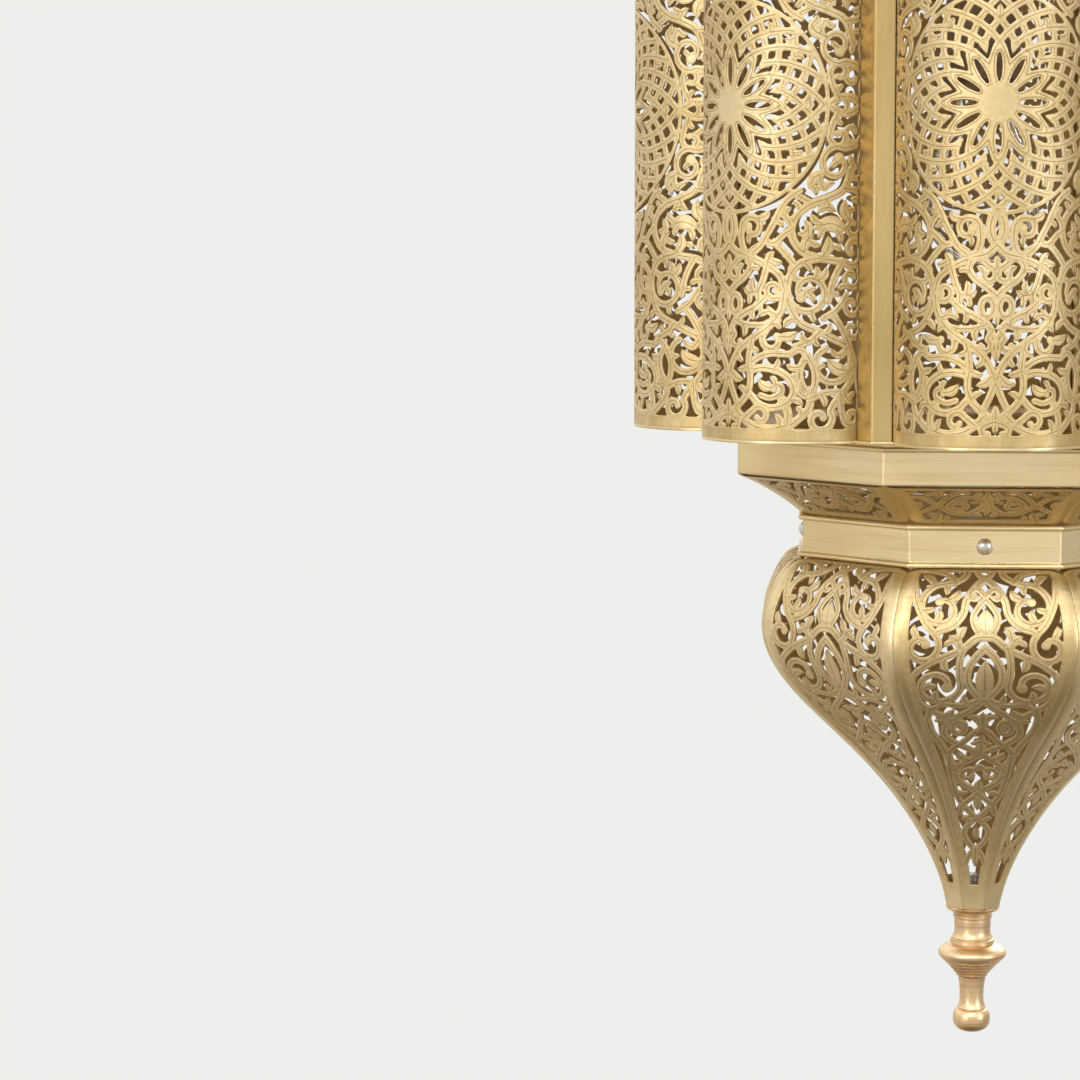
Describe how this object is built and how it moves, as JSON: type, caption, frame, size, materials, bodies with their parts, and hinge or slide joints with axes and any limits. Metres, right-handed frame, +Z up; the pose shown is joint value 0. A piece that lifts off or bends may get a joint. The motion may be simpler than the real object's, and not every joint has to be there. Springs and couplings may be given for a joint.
{
  "type": "hanging lantern",
  "caption": "Octagonal pierced brass hanging lantern with half-round lobed panels, a bulbous lower cage, a domed top, a turned finial and a loose hanging ring.",
  "frame": {"origin": "hang point, where a hook bears on the inside of the hanging ring's top", "axes": "+Z up along the lantern's axis, -Y out of facet 1, which carries a collar screw, +X to the right"},
  "size_m": [0.3592, 0.3592, 0.9432],
  "materials": {
    "pierced_brass": "engraved, light patina",
    "plain_brass": "brushed, light patina",
    "inner_brass": "dull, as formed",
    "turned_brass": "turned, light patina",
    "screw_steel": "nickel plated",
    "zinc_steel": "zinc plated",
    "holder_phenolic": "moulded",
    "lamp_cap_metal": "rolled thread",
    "clear_glass": "clear"
  },
  "bodies": {
    "ring": {"hanging_ring": "turned_brass"},
    "lantern": {"body_bottom_plate": "plain_brass", "body_top_plate": "plain_brass", "cage_hub": "turned_brass", "cage_neck_ring": "inner_brass", "cage_panel_1": "pierced_brass", "cage_panel_2": "pierced_brass", "cage_panel_3": "pierced_brass", "cage_panel_4": "pierced_brass", "cage_panel_5": "pierced_brass", "cage_panel_6": "pierced_brass", "cage_panel_7": "pierced_brass", "cage_panel_8": "pierced_brass", "cage_seat_ring": "turned_brass", "collar_nuts": "zinc_steel", "collar_screws": "screw_steel", "corner_bars": "plain_brass", "cross_bar": "zinc_steel", "cross_bar_nuts": "zinc_steel", "cross_bar_screws": "screw_steel", "dome_cap_ring": "turned_brass", "dome_neck_ring": "inner_brass", "dome_panel_1": "pierced_brass", "dome_panel_2": "pierced_brass", "dome_panel_3": "pierced_brass", "dome_panel_4": "pierced_brass", "dome_panel_5": "pierced_brass", "dome_panel_6": "pierced_brass", "dome_panel_7": "pierced_brass", "dome_panel_8": "pierced_brass", "finial": "turned_brass", "finial_stud": "zinc_steel", "holder_body": "holder_phenolic", "holder_cap": "holder_phenolic", "holder_ring": "holder_phenolic", "hub_nut": "zinc_steel", "hub_washer": "zinc_steel", "lamp_cap": "lamp_cap_metal", "lamp_glass": "clear_glass", "lobe_panel_1": "pierced_brass", "lobe_panel_2": "pierced_brass", "lobe_panel_3": "pierced_brass", "lobe_panel_4": "pierced_brass", "lobe_panel_5": "pierced_brass", "lobe_panel_6": "pierced_brass", "lobe_panel_7": "pierced_brass", "lobe_panel_8": "pierced_brass", "lower_collar": "plain_brass", "lower_flange": "plain_brass", "lower_slope_ring": "pierced_brass", "stem_tube": "zinc_steel", "top_eye": "turned_brass", "top_knob": "turned_brass", "tube_nuts": "zinc_steel", "tube_washers": "zinc_steel", "upper_collar": "plain_brass", "upper_flange": "plain_brass", "upper_slope_ring": "pierced_brass"}
  },
  "joints": [
    {"name": "lantern_swing", "type": "hinge", "parent": "ring", "child": "lantern", "pos_m": [0, 0, -0.0362], "axis": [1, 0, 0], "range_deg": [-60, 60]}
  ]
}
